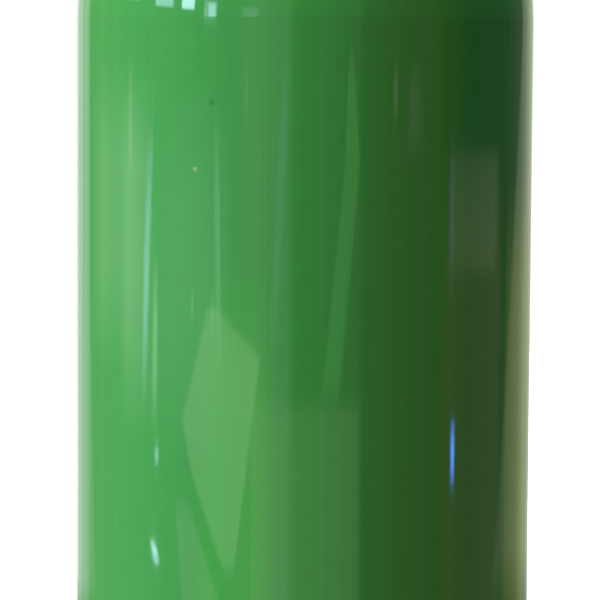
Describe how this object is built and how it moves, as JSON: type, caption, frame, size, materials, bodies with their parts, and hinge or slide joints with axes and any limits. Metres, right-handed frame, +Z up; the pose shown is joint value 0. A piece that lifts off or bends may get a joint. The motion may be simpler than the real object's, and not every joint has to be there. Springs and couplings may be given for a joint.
{
  "type": "medical oxygen cylinder",
  "caption": "Slender green gloss-enamelled steel gas cylinder with round shoulder, dished base, and a plated pin-index post valve with toggle handle, burst disc plug and outlet cap.",
  "frame": {"origin": "on the cylinder's axis, at the plane of the heel that it stands on", "axes": "+Z up along the cylinder's axis to the valve; -Y is the way the gas outlet faces; +X is the side of the burst disc plug"},
  "size_m": [0.108, 0.1082, 0.5109],
  "materials": {
    "green_enamel": "gloss",
    "label_film": "satin",
    "black_rubber": "matte",
    "plated_brass": "polished",
    "bare_brass": "satin",
    "copper": "satin",
    "white_nylon": "satin",
    "stainless_steel": "satin",
    "cast_aluminium": "satin",
    "cap_plastic": "satin"
  },
  "bodies": {
    "cylinder": {"cylinder_shell": "green_enamel", "contents_label": "label_film", "neck_o_ring": "black_rubber", "valve_body": "plated_brass", "debris_tube": "bare_brass", "burst_disc": "copper", "burst_disc_washer": "copper", "safety_plug": "bare_brass", "thrust_washer": "white_nylon", "bonnet_gasket": "copper", "bonnet_nut": "plated_brass", "spindle_o_ring": "black_rubber", "backup_ring": "white_nylon"},
    "handle": {"spindle": "stainless_steel", "toggle_handle": "cast_aluminium", "handle_washer": "stainless_steel", "handle_screw": "stainless_steel"},
    "plug": {"valve_plug": "bare_brass", "seat_insert": "white_nylon"},
    "cap": {"outlet_cap": "cap_plastic", "outlet_washer": "white_nylon"}
  },
  "joints": [
    {"name": "handle_turn", "type": "hinge", "parent": "cylinder", "child": "handle", "pos_m": [0, 0, 0.497], "axis": [0, 0, 1], "range_deg": [0, 630]},
    {"name": "plug_lift", "type": "slide", "parent": "handle", "child": "plug", "axis": [0, 0, 1], "range_m": [0, 0.0023]},
    {"name": "outlet_cap_pull", "type": "slide", "parent": "cylinder", "child": "cap", "axis": [0, -1, 0], "range_m": [0, 0.03]}
  ],
  "couplings": [
    {"joint": "plug_lift", "follows": "handle_turn", "m_per_rad": 0.00020213}
  ]
}
